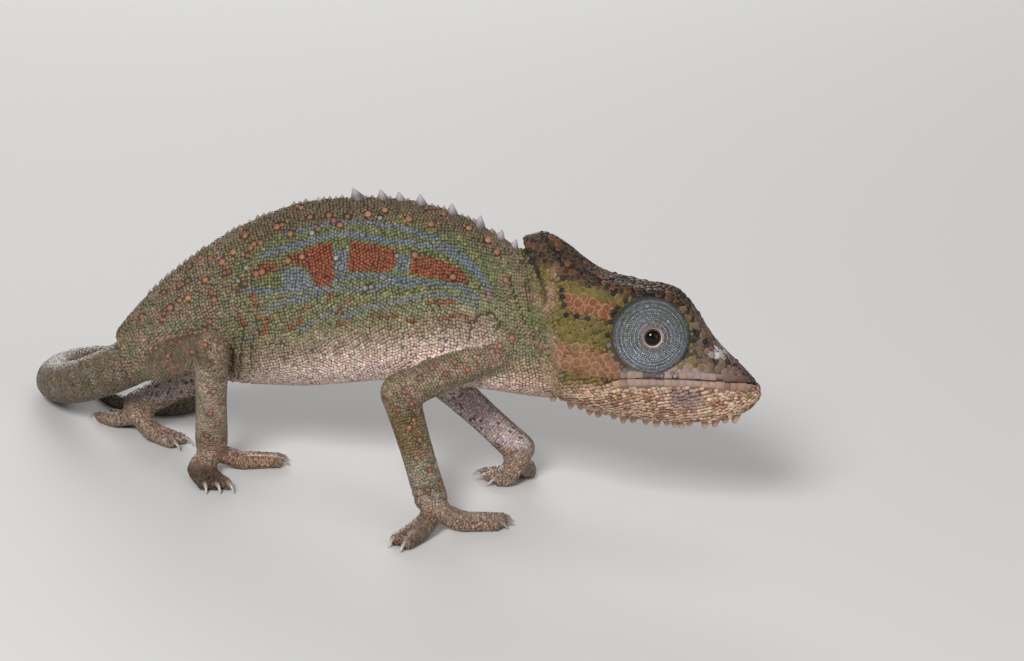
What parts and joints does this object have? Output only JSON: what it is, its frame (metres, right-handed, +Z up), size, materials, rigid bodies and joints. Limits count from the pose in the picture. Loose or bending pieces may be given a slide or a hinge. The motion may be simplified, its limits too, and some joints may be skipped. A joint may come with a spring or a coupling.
{
  "type": "dwarf chameleon model",
  "caption": "Still, life-size dwarf chameleon standing on gripping feet, with a low casque, turret eyes, crests of cones and a coiled tail.",
  "frame": {"origin": "centre of the bottom face of the bounding box, on the floor under the animal", "axes": "+X towards the snout, +Y to the animal's left, +Z up"},
  "size_m": [0.0702, 0.039, 0.0285],
  "materials": {
    "skin": "granular scales, olive, rust and grey",
    "digits": "small scales with pale claws",
    "eyelid": "rings of fine granules",
    "eye": "wet gloss, bronze ring round a black pupil"
  },
  "bodies": {
    "root": {"head": "skin", "lower_jaw": "skin", "neck": "skin", "torso": "skin", "tail_1": "skin", "tail_2": "skin", "tail_3": "skin", "tail_4": "skin", "tail_5": "skin", "tail_6": "skin", "tail_7": "skin", "tail_8": "skin", "upper_arm_right": "skin", "upper_arm_left": "skin", "forearm_right": "skin", "forearm_left": "skin", "thigh_right": "skin", "thigh_left": "skin", "shin_right": "skin", "shin_left": "skin", "hand_right": "digits", "hand_left": "digits", "foot_right": "digits", "foot_left": "digits", "eye_turret_right": "eyelid", "eye_turret_left": "eyelid", "eye_right": "eye", "eye_left": "eye"}
  },
  "joints": []
}
